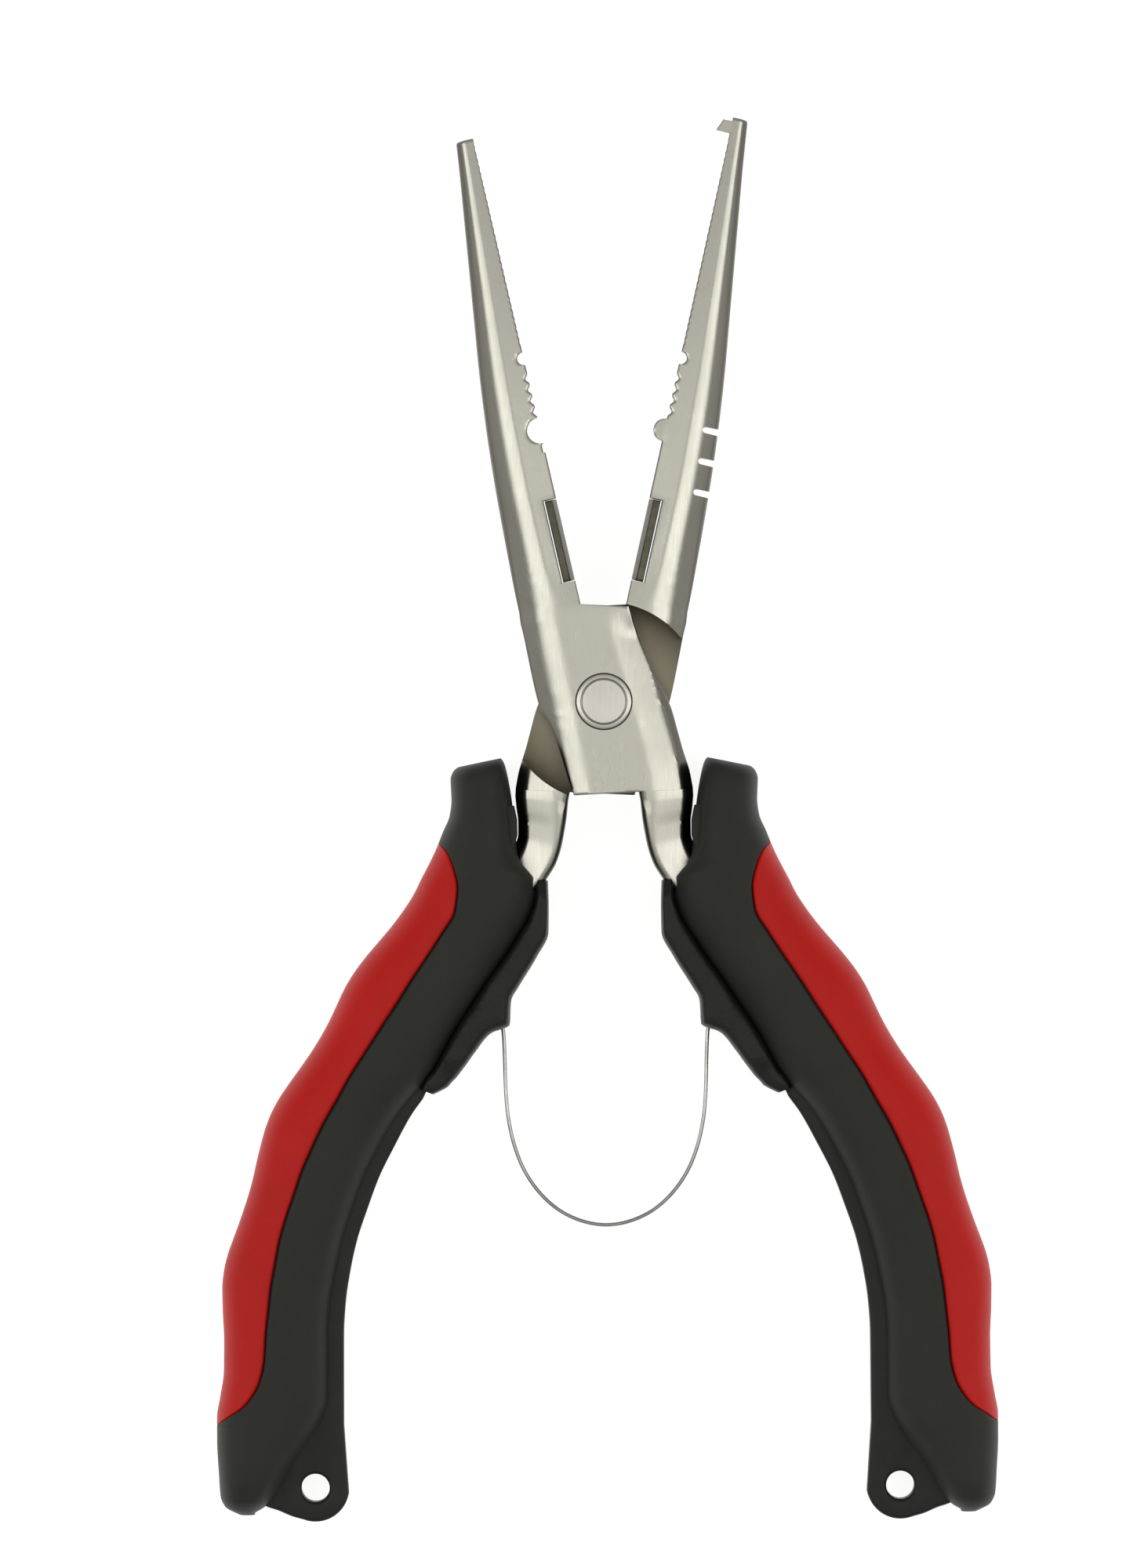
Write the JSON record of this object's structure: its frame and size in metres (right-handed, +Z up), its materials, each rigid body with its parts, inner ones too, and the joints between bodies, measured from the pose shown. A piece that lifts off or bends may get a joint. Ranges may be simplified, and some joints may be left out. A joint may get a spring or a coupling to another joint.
{
  "type": "fishing pliers",
  "caption": "Long-nose fishing pliers with side cutters, crimping notches, a split-ring tip, cushioned grips and a wire return spring.",
  "frame": {"origin": "centre of the footprint on the rest plane, with the pliers lying flat and open", "axes": "+Y towards the jaw tips, +Z up through the pivot rivet, +X towards the handle of the front lever"},
  "size_m": [0.0996, 0.1787, 0.014],
  "materials": {
    "satin_nickel": "satin nickel plate",
    "dark_carbide": "ground dark carbide",
    "rivet_steel": "satin, turned",
    "black_nylon": "fine textured nylon",
    "black_overmould": "soft matt rubber",
    "red_inlay": "soft matt red rubber",
    "spring_steel": "bright drawn wire"
  },
  "bodies": {
    "front_half": {"front_lever": "satin_nickel", "front_cutter": "dark_carbide", "pivot_rivet": "rivet_steel", "right_core": "black_nylon", "right_cover": "black_overmould", "right_inlay": "red_inlay", "right_rail": "black_nylon"},
    "rear_half": {"rear_lever": "satin_nickel", "rear_cutter": "dark_carbide", "left_core": "black_nylon", "left_cover": "black_overmould", "left_inlay": "red_inlay", "left_rail": "black_nylon"},
    "right_spring_half": {"spring_right": "spring_steel"},
    "left_spring_half": {"spring_left": "spring_steel"}
  },
  "joints": [
    {"name": "pivot", "type": "hinge", "parent": "front_half", "child": "rear_half", "pos_m": [0, 0.01493, 0.007], "axis": [0, 0, 1], "range_deg": [-12, 25.2], "stiffness_Nm_per_rad": 0.15},
    {"name": "spring_socket", "type": "hinge", "parent": "front_half", "child": "right_spring_half", "pos_m": [0.0131, -0.02527, 0.007], "axis": [0, 0, 1], "range_deg": [-18, 34]},
    {"name": "spring_bow", "type": "hinge", "parent": "right_spring_half", "child": "left_spring_half", "pos_m": [0, -0.05187, 0.007], "axis": [0, 0, 1], "range_deg": [-40, 20]}
  ],
  "couplings": [
    {"joint": "spring_socket", "follows": "pivot", "ratio": 1.2395},
    {"joint": "spring_bow", "follows": "pivot", "ratio": -1.479}
  ]
}
